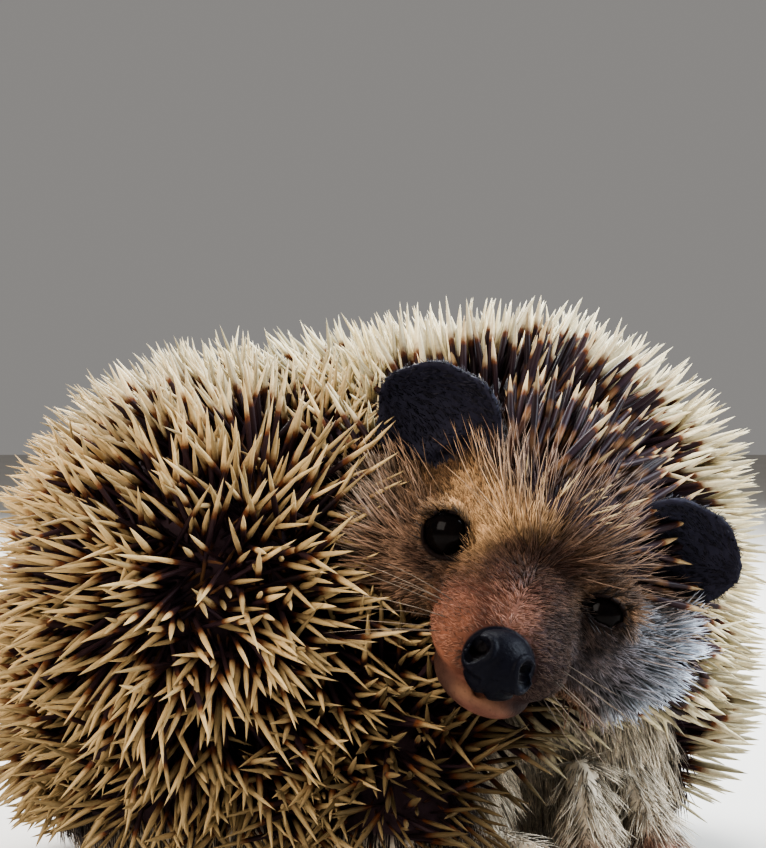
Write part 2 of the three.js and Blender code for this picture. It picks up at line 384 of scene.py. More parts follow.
def foot_points(leg):
    """The ankle, and the root and tip of each toe, in the part's frame."""
    turn = turned(leg.turn, "z")
    at = np.array([*leg.foot, 0])
    ankle = turn @ (0, leg.length * FOOT["ankle"], FOOT["ankle_height"]) + at
    toes = []
    for i in range(TOE["count"]):
        across = (i / (TOE["count"] - 1) - 0.5) * leg.width / 2
        root = turn @ (across, -leg.length * FOOT["knuckles"], TOE["radius"]) + at
        tip = turn @ (across * TOE["splay"], -leg.length / 2 - TOE["past"], TOE["tip_height"]) + at
        toes.append((root, tip))
    return ankle, toes


def leg_distance(p, leg):
    ankle, toes = foot_points(leg)
    local = (p - np.array([*leg.foot, 0])) @ turned(leg.turn, "z")
    sole = (0, 0, 0, leg.width / 2, leg.length / 2, FOOT["height"])
    d = masses(local, [sole], 1, -SHORT_FUR)
    d = blend(d, rod(p, ankle, leg.top, LEG_RADIUS - LEG_FUR), width=3)
    for root, tip in toes:
        d = blend(d, rod(p, root, tip, TOE["radius"] - TOE_FUR), width=0.7)
    return np.maximum(d, SOLE_HEIGHT - p[..., 2])


def limb_distance(p):
    d = rod(p, TAIL["from"], TAIL["to"], TAIL["radius"] - TAIL_FUR)
    for leg in LEGS.values():
        d = np.minimum(d, leg_distance(p, leg))
    return d


def near_head(p):
    return norm(in_head(p) - HEAD_ROOM["middle"]) < HEAD_ROOM["radius"]


def near_limbs(p):
    return (p[..., 2] < LIMB_ROOM["top"]) & (p[..., 1] < LIMB_ROOM["back"]) & (p[..., 0] > LIMB_ROOM["right"])


def skin_distance(p):
    d = body_distance(p)
    near = near_head(p)
    if near.any():
        d[near] = blend(d[near], head_distance(in_head(p[near])), width=3)
    low = near_limbs(p)
    if low.any():
        d[low] = blend(d[low], limb_distance(p[low]), width=1.5)
    return d


LONGEST_MOVE = 0.6  # of a point, in one step


def settle(p, steps=2, reach=0.02):
    for _ in range(steps):
        sides = [skin_distance(p + reach * axis) - skin_distance(p - reach * axis) for axis in np.eye(3)]
        slope = np.stack(sides, axis=-1) / (2 * reach)
        size = np.maximum((slope * slope).sum(-1), 0.05)
        move = np.clip(skin_distance(p) / size, -LONGEST_MOVE, LONGEST_MOVE)
        p = p - move[:, None] * slope
    return p


# ---- Where each coat grows, and its colours ----

BROW_LINE = 9.0  # quills start this high above the eyes
BROW_LINE_DROP = 6.5  # and so much lower in front of the left ear
SKIRT_LINE = 9.0  # the height above the floor where the quills start
CHEST = (30, -20, 14, 21, 19, 17)  # has fur only
QUILL_FREE = 0.8  # the strip round each ear

SKIRT_COLOUR = (224, 210, 188)
HEAD_COLOUR = (130, 102, 76)
UNDER_QUILLS = (52, 38, 42)
EAR_COLOUR = (37, 36, 47)
LID_COLOUR = (22, 15, 14)
LIMB_COLOUR = (150, 116, 100)
NOSE_COLOUR = (11, 11, 19)
# The nostrils' dark lining, near black as painted shade deep in the carved holes and grooves of the nose.
NOSTRIL_LINING_AND_SHADE = (7, 3, 5)
HEAD_MARKS = [  # mass in the head's frame; colour; strength; the side it is on, or 0 for both
    ((0, 4, 8, 16, 14, 10), (84, 60, 44), 0.95, 0),  # brow
    ((6.5, 1, 5.5, 7.5, 10, 6), (198, 160, 118), 1.0, -1),  # pale patch above the right eye
    ((14, 4, -7, 8, 10, 8), (128, 100, 82), 0.85, 0),  # cheek
    ((21, 10, -9, 8, 10, 10), (170, 156, 142), 0.8, -1),  # right ruff
    ((23, 10, -8.5, 8, 11, 11), (220, 229, 243), 1.0, 1),  # left ruff: white fur, bluer and brighter with painted window light
    ((16, 4, -4.5, 6, 9, 7), (134, 136, 142), 0.9, 1),  # left cheek, grey-blue with painted cool window light
    ((0, -5, 1, 6, 6, 5), (58, 38, 31), 0.95, 0),  # bridge
    ((0.5, -10, -6.5, 11, 9, 8), (82, 51, 41), 1.0, 0),  # muzzle
    ((5.9, -11.5, -7.4, 3.6, 5.5, 5.4), (138, 91, 71), 0.8, -1),  # painted light on the muzzle's lit right side
    ((0, -12.5, -1.0, 3.2, 4, 2.4), (120, 82, 67), 0.7, 0),  # above the nose
    ((7.5, -9, -7, 6.8, 9, 9), (36, 26, 27), 0.95, 1),  # painted shade left of the muzzle and under the eye
    ((11, -2, -5, 7, 6, 5), (104, 96, 99), 0.8, 1),  # below the left eye
    ((1.4, -12, -13.8, 4.4, 6.5, 3.0), (94, 62, 53), 0.95, 1),  # chin: the lip's colour, darkened with painted shade from below
    ((5.9, -11, -13.4, 5.4, 8, 3.3), (62, 44, 38), 0.95, -1),  # painted shade at the corner of the mouth
    ((10.2, -2.6, -1.2, 4.2, 5, 3.6), (40, 30, 30), 0.8, 1),  # round the left eye
    ((10.2, -2.6, -3.6, 4.0, 5, 2.2), (56, 38, 32), 0.75, -1),  # below the right eye
    ((6, 0, -18, 12, 9, 5), (70, 60, 58), 0.8, 0),  # painted shade on the throat, under the chin
]
MARK_EDGE = (0.7, 1.25)  # each mark fades out between these shares of its radii


def head_share(p, h, width):
    """1 where the skin is the head's, 0 where it is the body's."""
    return ramp(body_distance(p) - face_distance(h), -width, width)


def quill_margin(p):
    """How far inside the quilled coat a point of the skin is."""
    h = in_head(p)
    behind_ears = (h[..., 1] - 14) * 0.9 + (np.abs(h[..., 0]) - 15) * 0.5
    brow_line = BROW_LINE - BROW_LINE_DROP * ramp(h[..., 0], 5, 15)
    head = np.maximum(h[..., 2] - brow_line, behind_ears)
    chest = (within(p, CHEST) - 1) * 10
    body = np.minimum(p[..., 2] - SKIRT_LINE, chest)
    margin = body + (head - body) * head_share(p, h, 1)
    return np.minimum(margin, (from_ears(h) - QUILL_FREE) * 2)


def markings_and_painted_light(p):
    """The animal's colours at points of its skin, with painted light and shade mixed in, which the coat there
    shares.
    """
    h = in_head(p)
    colour = np.tile(linear(SKIRT_COLOUR), (len(p), 1))
    on_face = np.maximum(head_share(p, h, 1.5), ramp(-h[:, 1], 0, 4))
    colour = mix(colour, HEAD_COLOUR, on_face * ramp(p[:, 2], 18, 26))
    for mass, rgb, strength, side in HEAD_MARKS:
        left, right = (within(h * (s, 1, 1), mass) + FAR_OFF * (side == -s) for s in (1, -1))
        colour = mix(colour, rgb, strength * fall(np.minimum(left, right), *MARK_EDGE))
    layers = [
        (UNDER_QUILLS, ramp(quill_margin(p), -1.5, 1)),
        (EAR_COLOUR, fall(from_ears(h), 0.1, 0.9)),
        (LIMB_COLOUR, fall(limb_distance(p), 0.2, 1.5) * fall(p[:, 2], 5, 9)),
        (LID_COLOUR, fall(from_lids(h), 0.3, 0.9)),
        (NOSE_COLOUR, nose_share(h)),
        # dark lining, and painted shade deep inside the nose pad
        (NOSTRIL_LINING_AND_SHADE, fall(nose_pad(h), -1.0, -0.35)),
    ]
    for rgb, share in layers:
        colour = mix(colour, rgb, share)
    return colour


def nose_share(h):
    return fall(nose_pad(h), 0.45, 0.8)


# ---- The skin's mesh ----

CHUNK = 60000  # points worked out at a time
COARSE = 4  # lattice steps in a rough one
SKIN_STEP = 0.6
FINE_SPOTS = [(EYES["right"], 6.0), (EYES["left"], 6.0), (from_head((0, -18.5, -6)), 7.0)]


def lattice(low, shape, step, wanted):
    field = np.zeros(shape)
    found = np.argwhere(wanted)
    for start in range(0, len(found), CHUNK):
        part = found[start : start + CHUNK]
        field[tuple(part.T)] = skin_distance(low + part * step)
    return field


def sample_field(low, high, step):
    """The skin's distance on a lattice, worked out closely only near the surface."""
    cells = np.ceil((high - low) / (step * COARSE)).astype(int) + 1
    middle = low + (COARSE - 1) / 2 * step
    rough = lattice(middle, cells, step * COARSE, np.ones(cells, bool))
    for axis in range(3):
        rough = np.repeat(rough, COARSE, axis=axis)
    near = np.abs(rough) < step * COARSE * 1.25
    return np.where(near, lattice(low, rough.shape, step, near), rough)


CORNERS = np.array([[i, j, k] for i in (0, 1) for j in (0, 1) for k in (0, 1)])
EDGES = [(a, b) for a in range(8) for b in range(a + 1, 8) if np.abs(CORNERS[a] - CORNERS[b]).sum() == 1]


def crossing_points(field, cells):
    """The mean of the points where the surface crosses the edges of each cell, in lattice steps."""
    total, hits = np.zeros((len(cells), 3)), np.zeros(len(cells))
    for a, b in EDGES:
        fa, fb = field[tuple((cells + CORNERS[a]).T)], field[tuple((cells + CORNERS[b]).T)]
        crossed = (fa < 0) != (fb < 0)
        share = np.where(crossed, fa / np.where(crossed, fa - fb, 1), 0)
        point = CORNERS[a] + share[:, None] * (CORNERS[b] - CORNERS[a])
        total[crossed] += point[crossed]
        hits += crossed
    return cells + total / hits[:, None]


def surface_nets(field, low, step):
    """One point in each cell that the surface crosses, and a quad across each crossed edge."""
    inside = field < 0
    shape = tuple(n - 1 for n in field.shape)
    count = np.zeros(shape, np.int8)
    for corner in CORNERS:
        count += inside[tuple(slice(o, o + n) for o, n in zip(corner, shape))]
    mixed = (count > 0) & (count < 8)
    cells = np.argwhere(mixed)
    number = np.full(shape, -1, np.int64)
    number[mixed] = np.arange(len(cells))
    quads = []
    for axis in range(3):
        u, v = (axis + 1) % 3, (axis + 2) % 3
        edges = np.argwhere(np.diff(inside, axis=axis))
        edges = edges[(edges[:, u] > 0) & (edges[:, v] > 0)]
        edges = edges[(edges[:, u] < shape[u]) & (edges[:, v] < shape[v])]
        du, dv = np.eye(3, dtype=int)[u], np.eye(3, dtype=int)[v]
        ring = [edges - du - dv, edges - dv, edges, edges - du]
        ids = np.stack([number[tuple(r.T)] for r in ring], axis=1)
        inward = ~inside[tuple(edges.T)]
        ids[inward] = ids[inward][:, ::-1]
        quads.append(ids)
    return low + step * crossing_points(field, cells), np.concatenate(quads)


def read(items, key, kind, width):
    values = np.empty(len(items) * width, kind)
    items.foreach_get(key, values)
    return values.reshape(-1, width)


def mesh_points(mesh):
    return read(mesh.vertices, "co", np.float32, 3).astype(float) / MM


def split_near(bm, centre, radius):
    bm.verts.index_update()
    bm.edges.ensure_lookup_table()
    co = np.array([v.co for v in bm.verts]) / MM
    ends = np.array([[v.index for v in e.verts] for e in bm.edges])
    near = norm(co[ends].mean(axis=1) - centre) < radius
    edges = [bm.edges[i] for i in np.flatnonzero(near)]
    bmesh.ops.subdivide_edges(bm, edges=edges, cuts=1, use_grid_fill=True)


def build_skin_mesh():
    low, high = BOX[0] - 2 * SKIN_STEP, BOX[1] + 2 * SKIN_STEP
    points, quads = surface_nets(sample_field(low, high, SKIN_STEP), low, SKIN_STEP)
    mesh = bpy.data.meshes.new("skin")
    mesh.from_pydata((points * MM).tolist(), [], quads.tolist())
    bm = bmesh.new()
    bm.from_mesh(mesh)
    for centre, radius in FINE_SPOTS:
        for _ in range(2):
            split_near(bm, centre, radius)
    bmesh.ops.triangulate(bm, faces=bm.faces)
    bm.to_mesh(mesh)
    bm.free()
    points = mesh_points(mesh)
    shaped = near_head(points) | near_limbs(points)
    points[shaped] = settle(points[shaped])
    mesh.vertices.foreach_set("co", (points * MM).ravel())
    mesh.update()
    return mesh


def unwrap(piece):
    """Lays the skin out flat, as the map that every coat piece shares."""
    piece.data.uv_layers.new(name="OFBake")
    bpy.context.view_layer.objects.active = piece
    piece.select_set(True)
    bpy.ops.object.mode_set(mode="EDIT")
    bpy.ops.mesh.select_all(action="SELECT")
    bpy.ops.uv.smart_project(angle_limit=math.radians(66), island_margin=0.002)
    bpy.ops.object.mode_set(mode="OBJECT")
    piece.select_set(False)


def paint(mesh, name, values):
    kind, key = ("FLOAT", "value") if values.ndim == 1 else ("FLOAT_COLOR", "color")
    if values.ndim == 2:
        values = np.column_stack([values, np.ones(len(values))])
    layer = mesh.attributes.new(name, kind, "POINT")
    layer.data.foreach_set(key, values.astype(np.float32).ravel())


def add_piece(name, mesh, material, slot):
    mesh.materials.append(material)
    mesh.shade_smooth()
    piece = bpy.data.objects.new(name, mesh)
    bpy.context.scene.collection.objects.link(piece)
    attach(piece, "root")
    return piece


# ---- Roots on the skin ----


class Ground:
    def __init__(self, mesh):
        self.corners = read(mesh.polygons, "vertices", np.int32, 3)
        self.points = mesh_points(mesh)
        self.uv = read(mesh.uv_layers["OFBake"].uv, "vector", np.float32, 2).reshape(-1, 3, 2)
        a, b, c = (self.points[self.corners[:, i]] for i in range(3))
        cross = np.cross(b - a, c - a)
        self.normals = unit(cross)
        self.area = norm(cross) / 2

    def scatter(self, rng, per_mm2, wanted):
        """Random roots, per_mm2 at most, thinned to the wanted share: places, normals and map places."""
        count = rng.poisson(self.area.sum() * per_mm2)
        face = np.searchsorted(np.cumsum(self.area), rng.random(count) * self.area.sum())
        face = np.minimum(face, len(self.area) - 1)
        r, s = np.sqrt(rng.random(count)), rng.random(count)
        weight = np.column_stack([1 - r, r * (1 - s), r * s])[:, :, None]
        places = (self.points[self.corners[face]] * weight).sum(axis=1)
        maps = (self.uv[face] * weight).sum(axis=1)
        keep = rng.random(count) < wanted(places, in_head(places), self.normals[face])
        return places[keep], self.normals[face][keep], maps[keep]


def tree_of(places):
    tree = KDTree(len(places))
    for i, place in enumerate(places):
        tree.insert(place, i)
    tree.balance()
    return tree


def spaced(places, gap):
    """Which places to keep so that none lies within gap of one kept before it."""
    tree = tree_of(places)
    kept = np.ones(len(places), bool)
    for i, place in enumerate(places):
        if kept[i]:
            later = [j for _, j, _ in tree.find_range(place, gap) if j > i]
            kept[later] = False
    return kept


# ---- Strands: quills, hairs, whiskers and claws ----

Strands = namedtuple("Strands", "roots maps directions bends lengths radii colours bands")
PATCH = 0.003  # each strand's patch on the shared map
ROOT_END = -0.03  # each strand starts under the skin, in shares of its length


def strand_faces(sides, rings):
    """The corners of one strand's faces, each with its place on the strand's patch, and the faces' sizes."""
    tip, rows = 1 + rings * sides, rings + 1
    corners, patch, sizes = [], [], []
    for j in range(sides):
        k = (j + 1) % sides
        left, right = j / sides, (j + 1) / sides
        middle = (left + right) / 2
        corners += [0, 1 + k, 1 + j]
        patch += [(middle, 0), (right, 1 / rows), (left, 1 / rows)]
        for ring in range(1, rings):
            low, high = 1 + (ring - 1) * sides, 1 + ring * sides
            corners += [low + j, low + k, high + k, high + j]
            v, w = ring / rows, (ring + 1) / rows
            patch += [(left, v), (right, v), (right, w), (left, w)]
        corners += [tip - sides + j, tip - sides + k, tip]
        patch += [(left, rings / rows), (right, rings / rows), (middle, 1)]
        sizes += [3] + [4] * (rings - 1) + [3]
    return np.array(corners), np.array(patch) - 0.5, np.array(sizes)


def strand_points(strands, profile, sides):
    """Points of every strand: the root's end, rings along a bent path, and the tip."""
    helper = np.where(np.abs(strands.directions[:, 2:]) < 0.9, [[0, 0, 1]], [[1, 0, 0]])
    across = unit(np.cross(strands.directions, helper))
    other = np.cross(strands.directions, across)
    angle = np.arange(sides) * 2 * math.pi / sides
    shares = np.array([ROOT_END, *(t for t, _ in profile), 1])
    straight = shares[None, :, None] * strands.directions[:, None]
    bent = (shares**2)[None, :, None] / 2 * strands.bends[:, None]
    along = strands.roots[:, None] + strands.lengths[:, None, None] * (straight + bent)
    ring = across[:, None] * np.cos(angle)[None, :, None] + other[:, None] * np.sin(angle)[None, :, None]
    parts = [along[:, :1]]
    for i, (_, r) in enumerate(profile, start=1):
        parts.append(along[:, i, None] + ring * (strands.radii * r)[:, None, None])
    parts.append(along[:, -1:])
    repeats = [1] + [sides] * len(profile) + [1]
    return np.concatenate(parts, axis=1), np.repeat(shares, repeats)


def strand_mesh(name, points, corners, sizes):
    count, size = points.shape[:2]
    mesh = bpy.data.meshes.new(name)
    mesh.vertices.add(count * size)
    mesh.vertices.foreach_set("co", (points * MM).astype(np.float32).ravel())
    loops = (corners[None] + size * np.arange(count)[:, None]).ravel()
    totals = np.tile(sizes, count)
    mesh.loops.add(len(loops))
    mesh.loops.foreach_set("vertex_index", loops.astype(np.int32))
    mesh.polygons.add(len(totals))
    mesh.polygons.foreach_set("loop_start", (np.cumsum(totals) - totals).astype(np.int32))
    mesh.update(calc_edges=True)
    return mesh


def grow(name, material, slot, strands, profile, sides, first_shade=0.0):
    """One coat piece: a closed tapered tube for each strand, with what its material needs to know."""
    points, shares = strand_points(strands, profile, sides)
    corners, patch, sizes = strand_faces(sides, len(profile))
    count, size = points.shape[:2]
    mesh = strand_mesh(name, points, corners, sizes)
    uv = (strands.maps[:, None] + patch[None] * PATCH).astype(np.float32)
    mesh.uv_layers.new(name="OFBake").uv.foreach_set("vector", uv.ravel())
    paint(mesh, "markings_and_painted_light", np.repeat(strands.colours, size, axis=0))
    from_tip = (strands.lengths[:, None] * (1 - shares)[None]) * strands.bands[:, None]
    paint(mesh, "from_tip", from_tip.ravel())
    # How far along its strand each point is, from first_shade at the root to 1 at the tip; the fur material
    # darkens the roots with it as painted shade.
    paint(mesh, "along", np.tile(first_shade + (1 - first_shade) * shares, count))
    tint = np.random.default_rng(len(name)).random(count)
    paint(mesh, "tint", np.repeat(tint, size))
    return add_piece(name, mesh, material, slot)


def tangential(v, normals):
    return v - (v * normals).sum(-1, keepdims=True) * normals


def leaning(normals, flow, degrees):
    lean = np.radians(np.broadcast_to(degrees, len(normals)))[:, None]
    return unit(normals * np.cos(lean) + unit(tangential(flow, normals)) * np.sin(lean))


BOX_MARGIN = 0.5


def within_box(p, directions, lengths):
    """Lengths cut short where the tips would leave the part's box."""
    ahead = np.where(directions > 0, BOX[1] - BOX_MARGIN - p, p - BOX[0] - BOX_MARGIN)
    return np.minimum(lengths, (ahead / np.maximum(np.abs(directions), 0.05)).min(axis=1))


# ---- Quills ----

QUILLS_PER_MM2 = 3.8  # before they are spaced
QUILL_GAP = 1.03
QUILL_RADIUS = 0.43
QUILL_SIDES = 6
QUILL_PROFILE = [(0.04, 0.55), (0.3, 0.8), (0.6, 1.0), (0.8, 0.7), (0.93, 0.3)]
QUILL_REACH = (5.0, 16.5)  # shortest and longest
OVER_EAR = 9  # how much longer the quills are that hang over the left ear
WHORL = np.array([-20, -38, 45])  # where the rump's quills part
WHORL_GAP = 0.8 * QUILL_GAP  # closer together round it
RIDGE_LIE = np.array([-1.6, 0, 0])  # the way quills lean along the top of the rump
FACE_MIDDLE = (-2, 0, 0)  # the crown's quills lie back from here, in the head's frame
BROW_MIDDLE = (0, 4, 4)
FACE_LEAN = (22, 52)  # degrees, far from the face, and what nearness adds
RUMP_LEAN = (14, 14)  # at the whorl, and what the distance from it adds

THROAT = (13, -39, 19, 22, 22, 18)  # the shade under the chin
THROAT_SHADE = 0.72
RUMP_TIPS = (206, 178, 130)
# Tips on the top of the body: their pale colour, whitened further as painted backlight.
PALE_AND_LIT_RIDGE_TIPS = (248, 238, 204)
CROWN_TIPS = (242, 228, 190)
FRONT_TIPS = (164, 126, 76)
# Where each piece starts, in degrees round the body's axis.
QUILL_PIECES = {"shoulders": 0, "back": 70, "loin": 125, "rump": 180, "crown": 250}


def crownness(p):
    """1 on the crown and shoulders, 0 on the rump."""
    rump, crown = (masses(p, lobes, BALL_SOFT, -QUILL_DEPTH) for lobes in (BALL[:3], BALL[4:6]))
    return ramp(rump - crown, -5, 6)


def frontness(p):
    from_brow = norm(p - from_head(BROW_MIDDLE))
    return crownness(p) * fall(from_brow, 17, 29)


def from_whorl(p):
    return norm(p - WHORL)


def round_body(p):
    """How far round the body's axis a point is, in radians."""
    return np.arctan2(p[:, 1] - BODY_AXIS[1], p[:, 0] - BODY_AXIS[0])


def crossing(p, normals, lie):
    """Turns the quills' lie one way and the other in patches, so that neighbours cross."""
    turn = 0.9 * np.sin(0.42 * p[:, 0] + 2 * np.sin(0.27 * p[:, 2]) + 0.2 * p[:, 1])[:, None]
    return unit(lie) * np.cos(turn) + np.cross(normals, unit(lie)) * np.sin(turn)


def quill_directions(rng, p, normals):
    """On the crown they lie back from the face; elsewhere they lie round the body and cross."""
    crown = crownness(p)[:, None]
    from_face = p - from_head(FACE_MIDDLE)
    near = fall(norm(from_face), 18, 46)
    angle = round_body(p)
    onwards = np.column_stack([-np.sin(angle), np.cos(angle), np.full(len(p), -0.35)])
    on_rump = ramp(np.degrees(angle) % 360, 150, 200)[:, None]
    lie = onwards * (1 - on_rump) + unit(p - WHORL) * on_rump
    lie = crossing(p, normals, lie) + RIDGE_LIE * ramp(p[:, 2:], 46, 64)
    back = unit(from_face) * near[:, None] + onwards * (1 - near)[:, None]
    back = leaning(normals, back, FACE_LEAN[0] + FACE_LEAN[1] * near)
    away = from_whorl(p)
    loose = leaning(normals, lie, RUMP_LEAN[0] + RUMP_LEAN[1] * ramp(away, 3, 20))
    mixed = unit(back * crown + loose * (1 - crown))
    stray = 0.34 - 0.2 * crown + 0.3 * fall(away, 5, 16)[:, None]
    return unit(mixed + rng.normal(size=p.shape) * stray)


def reach_surface(p, directions, furthest):
    """How far each point is from the quilled body's outer surface, along its direction."""
    low, high = np.zeros(len(p)), np.full(len(p), furthest)
    for _ in range(14):
        middle = (low + high) / 2
        inside = coat_surface(p + middle[:, None] * directions) < 0
        low, high = np.where(inside, middle, low), np.where(inside, high, middle)
    return low


def quill_roots(rng, ground):
    places, normals, maps = ground.scatter(rng, QUILLS_PER_MM2, lambda p, h, normals: quill_margin(p) > 0)
    by_whorl = from_whorl(places) < 15
    keep = np.where(by_whorl, spaced(places, WHORL_GAP), spaced(places, QUILL_GAP))
    thinned = 0.16 * crownness(places) + 0.22 * frontness(places)
    keep = keep & (rng.random(len(places)) > thinned)
    return places[keep], normals[keep], maps[keep]


def quill_lengths(rng, places, directions):
    reach = reach_surface(places, directions, QUILL_REACH[1] / 0.88) * rng.uniform(0.68, 1.16, len(places))
    h = in_head(places)
    over_ear = ramp(h[:, 0], 5, 10) * fall(h[:, 1], 9, 14) * ramp(h[:, 2], 0, 4)
    return np.clip(reach, QUILL_REACH[0] + OVER_EAR * over_ear, QUILL_REACH[1])


def tip_colours(places, crown, front):
    colours = np.tile(linear(RUMP_TIPS), (len(places), 1))
    # Paler towards the top, partly as painted backlight.
    colours = mix(colours, PALE_AND_LIT_RIDGE_TIPS, ramp(places[:, 2], 52, 66))
    colours = mix(colours, CROWN_TIPS, crown)
    colours = mix(colours, FRONT_TIPS, 0.7 * ramp(front, 0.2, 0.9))
    shade = 1 - THROAT_SHADE * fall(within(places, THROAT), 0.6, 1.3)
    # Painted shade: the tips darker under the chin and towards the bottom.
    return colours * (shade * (0.68 + 0.32 * ramp(places[:, 2], 12, 40)))[:, None]


def band_scales(rng, places, crown, front):
    """Above 1, a quill's bands lie nearer its tip."""
    high = np.maximum(crown, ramp(places[:, 2], 44, 60))
    scales = rng.uniform(0.85, 1.3, len(places)) * (0.82 + 0.04 * high - 0.14 * crown)
    return scales * (1 + 0.9 * front)


def grow_quills(ground, material):
    rng = np.random.default_rng(7)
    places, normals, maps = quill_roots(rng, ground)
    crown, front = crownness(places), frontness(places)
    directions = quill_directions(rng, places, normals)
    lengths = quill_lengths(rng, places, directions)
    bends = rng.normal(size=places.shape) * 0.05
    lengths = within_box(places, directions + bends / 2, lengths)
    radii = QUILL_RADIUS * rng.uniform(0.82, 1.12, len(places)) * ramp(lengths, 2, 11)
    radii = radii * (1 + 0.08 * crown + 0.14 * front)
    colours = tip_colours(places, crown, front)
    bands = band_scales(rng, places, crown, front)
    strands = Strands(places, maps, directions, bends, lengths, radii, colours, bands)
    piece = np.digitize(np.degrees(round_body(places)) % 360, list(QUILL_PIECES.values())) - 1
    for i, name in enumerate(QUILL_PIECES):
        some = Strands(*(values[piece == i] for values in strands))
        grow("quills_" + name, material, "quills", some, QUILL_PROFILE, QUILL_SIDES)


# ---- Fur ----

PALE_HAIR = (180, 147, 122)
LOCK_SHARE = 0.55  # how far hairs lean towards the middle of their lock
HAIR_PROFILE = [(0.08, 1.0), (0.45, 0.85), (0.8, 0.5)]
HAIR_SIDES = 3
USUAL_HAIR = {"loose": 0.12, "flow": None, "pale": 0.0, "lock": 0.9, "first_shade": 0.0}
HAIR_BEND = 0.35  # towards the skin
SHORTEST_HAIR = 0.15
OFF_FLOOR = 0.3
NOSE_LINE = ((0, -20, -6), (0, -6, 2))
BACKWARDS = (0, 0.6, 0.1)
SKIRT_FLOW = (0.1, 0.2, -1)
PAW_FLOW = (0, -1, -0.6)


def hair_flow(h):
    """Away from the line between the nose and the bridge, and backwards, in the head's frame."""
    return unit(from_segment(h, *NOSE_LINE)) + BACKWARDS


def gathered(places, directions, lengths, gap):
    """Leans hairs together into locks that stand about gap apart."""
    leaders = np.flatnonzero(spaced(places, gap))
    tree = tree_of(places[leaders])
    nearest = leaders[[tree.find(place)[1] for place in places]]
    tips = places + directions * lengths[:, None]
    return unit(tips + LOCK_SHARE * (tips[nearest] - tips) - places)


def grow_fur(ground, material, name, seed, per_mm2, wanted, length, radius, lean, **unusual):
    """Hairs over a stretch of skin. Their length is a number, or a function of the place on the head."""
    looks = USUAL_HAIR | unusual
    rng = np.random.default_rng(seed)
    places, normals, maps = ground.scatter(rng, per_mm2, wanted)
    count = len(places)
    if looks["flow"] is None:
        ways = hair_flow(in_head(places)) @ HEAD_TURN.T
    else:
        ways = np.tile(np.array(looks["flow"], float), (count, 1))
    directions = unit(leaning(normals, ways, lean) + rng.normal(size=places.shape) * looks["loose"])
    lengths = (length(in_head(places)) if callable(length) else length) * rng.uniform(0.7, 1.15, count)
    directions = gathered(places, directions, lengths, looks["lock"])
    bends = -normals * HAIR_BEND + rng.normal(size=places.shape) * 0.12
    lengths = np.maximum(within_box(places, directions + bends / 2, lengths), SHORTEST_HAIR)
    room = np.maximum(places[:, 2] - OFF_FLOOR, 0)
    drop = lengths * np.maximum(-(directions + bends / 2)[:, 2], 0)
    lengths = np.where(drop > room, lengths * np.maximum(room / np.maximum(drop, 1e-6), 0.05), lengths)
    radii = radius * rng.uniform(0.75, 1.2, count)
    colours = mix(markings_and_painted_light(places), PALE_HAIR, np.full(count, looks["pale"]))
    strands = Strands(places, maps, directions, bends, lengths, radii, colours, np.ones(count))
    return grow(name, material, "fur", strands, HAIR_PROFILE, HAIR_SIDES, looks["first_shade"])


def bare(h):
    """1 where the skin is bare or nearly so: nose pad, eyelids and ears."""
    ears, eyelids = fall(from_ears(h), 0.3, 1), fall(from_lids(h), 0.2, 0.55)
    return np.maximum.reduce([ears, eyelids, nose_share(h)])


def on_head(h):
    near = (masses(h, FACE + MUZZLE + [JAW], FACE_SOFT, -1) < 1.2) | (from_eyes(h) < LIDS_REACH)
    return near & (h[:, 1] < 24)


def face_share(h):
    return on_head(h) * (1 - bare(h))


def brow_share(p, h, normals):
    share = ramp(h[:, 2], -1.5, 3) * fall(h[:, 1], 18, 24) * (1 - 0.8 * ramp(quill_margin(p), -4, 1.5))
    share = share * (1 - 0.8 * ramp(h[:, 2] + 0.25 * h[:, 0], 3, 8))
    return share * (quill_margin(p) < 2) * face_share(h)


def cheek_share(p, h, normals):
    share = ramp(np.abs(h[:, 0]) + (h[:, 1] + 4) * 0.6, 5, 11) * fall(h[:, 2], 0, 4)
    share = share * (quill_margin(p) < 1) * (1 - 0.85 * ramp(h[:, 0] - 0.4 * h[:, 2], 18, 23))
    return share * face_share(h)


def muzzle_share(p, h, normals):
    lip = ramp(h[:, 2] - 0.25 * (h[:, 1] + 16), -10.5, -8.5)
    return (h[:, 1] < 0) * face_share(h) * fall(h[:, 2], 2, 5) * lip


def fringe_share(p, h, normals):
    """The long hairs in front of the quills, and beside the face."""
    edge = ramp(h[:, 2] + 0.1 * h[:, 0], 3.5, 8) * fall(quill_margin(p), 1, 4)
    side = ramp(np.abs(h[:, 0]), 12, 18) * ramp(h[:, 2], -8, 0) * 0.6
    return np.maximum(edge, side) * (head_distance(h) < 1) * fall(h[:, 1], 14, 20) * (1 - bare(h))


def ruff_share(p, h, normals):
    """The bristly edge of the cheeks, below the ears."""
    edge = ramp(np.abs(h[:, 0]) - 0.4 * h[:, 2], 17, 21)
    edge = edge * fall(h[:, 2], 0, 4) * fall(h[:, 1], 14, 20)
    return edge * (quill_margin(p) < 1) * face_share(h)


def ear_share(p, h, normals):
    return from_ears(h) < 0.3


def skirt_share(p, h, normals):
    """The body below the quills, off the head and the feet."""
    off_feet = np.maximum(ramp(limb_distance(p), 0.8, 1.6), ramp(p[:, 2], 4.5, 8))
    return (head_distance(h) > 1.5) * (quill_margin(p) < 1.5) * (normals[:, 2] > -0.75) * off_feet


def limb_share(p, h, normals):
    return (limb_distance(p) < 0.7) * (normals[:, 2] > -0.5) * (p[:, 2] < 9) * (p[:, 2] > 0.6)


